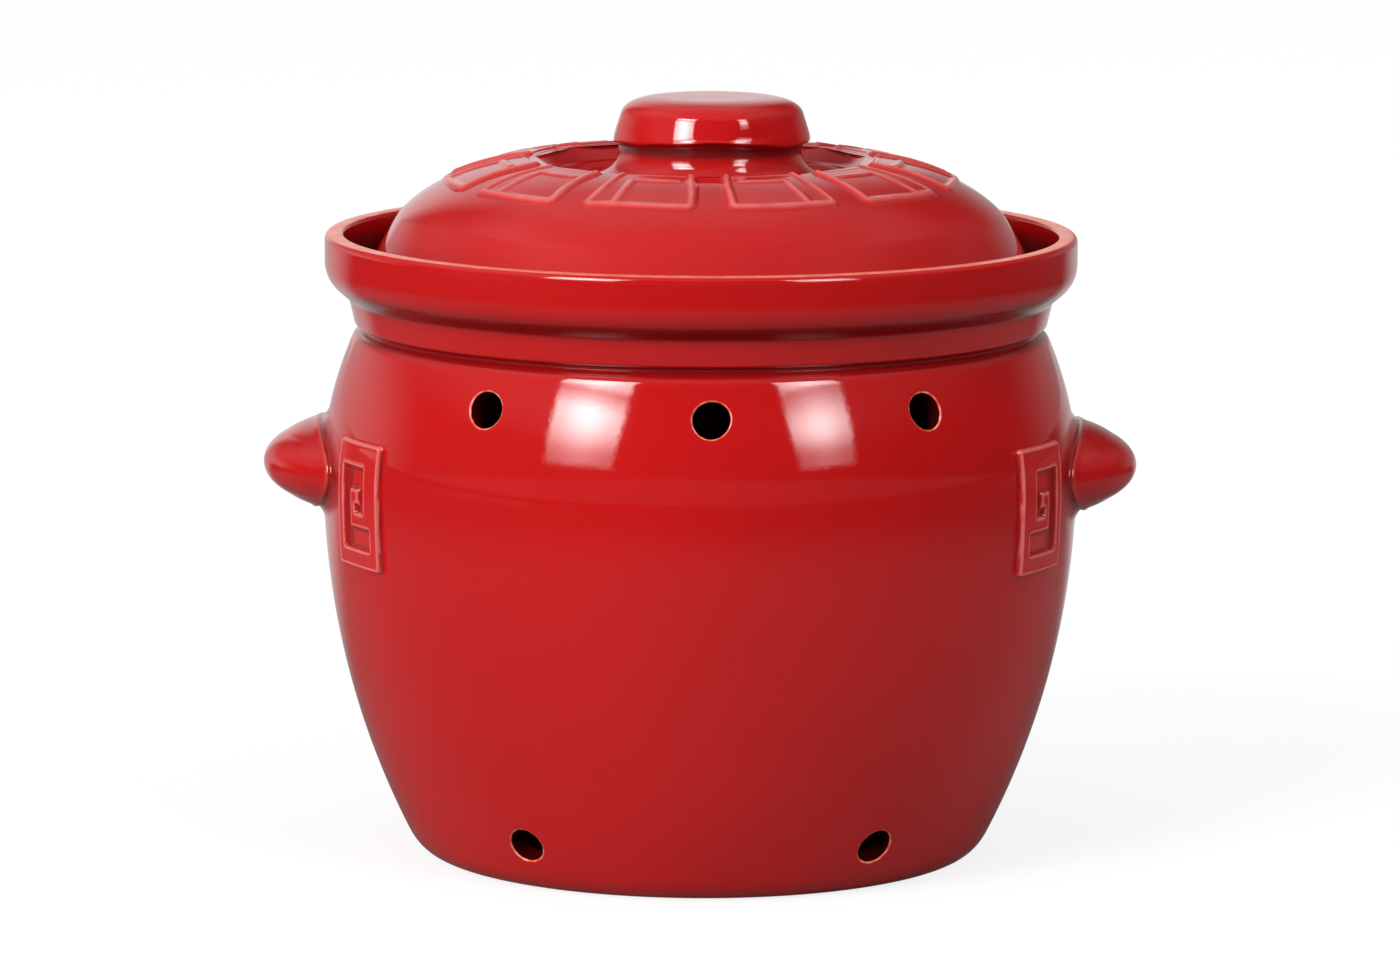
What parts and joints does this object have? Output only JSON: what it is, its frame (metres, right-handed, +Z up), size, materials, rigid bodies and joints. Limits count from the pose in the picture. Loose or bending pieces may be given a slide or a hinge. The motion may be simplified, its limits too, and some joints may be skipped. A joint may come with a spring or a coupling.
{
  "type": "potato storage pot",
  "caption": "Bellied glazed ceramic pot with air holes, side lugs, key-pattern relief and a domed lift-off lid with a mushroom knob, for keeping potatoes dark and aired.",
  "frame": {"origin": "centre of the plane of the standing ring, under the pot's axis", "axes": "+Z up along the pot's axis, +X along the two lugs, -Y towards the front"},
  "size_m": [0.3134, 0.2704, 0.2723],
  "materials": {
    "pot_glaze": "glossy red glaze",
    "panel_glaze": "glossy red glaze, thin on the edges of the key",
    "lid_glaze": "glossy red glaze",
    "tile_glaze": "glossy red glaze, thin on the ridges"
  },
  "bodies": {
    "pot": {"pot_body": "pot_glaze", "left_lug": "pot_glaze", "right_lug": "pot_glaze", "left_front_key_panel": "panel_glaze", "left_rear_key_panel": "panel_glaze", "right_front_key_panel": "panel_glaze", "right_rear_key_panel": "panel_glaze"},
    "lid": {"lid_shell": "lid_glaze", "lid_knob": "lid_glaze", "lid_key_tile_1": "tile_glaze", "lid_key_tile_2": "tile_glaze", "lid_key_tile_3": "tile_glaze", "lid_key_tile_4": "tile_glaze", "lid_key_tile_5": "tile_glaze", "lid_key_tile_6": "tile_glaze", "lid_key_tile_7": "tile_glaze", "lid_key_tile_8": "tile_glaze", "lid_key_tile_9": "tile_glaze", "lid_key_tile_10": "tile_glaze", "lid_key_tile_11": "tile_glaze"}
  },
  "joints": [
    {"name": "lid_lift", "type": "slide", "parent": "pot", "child": "lid", "axis": [0, 0, 1], "range_m": [0, 0.15]}
  ]
}
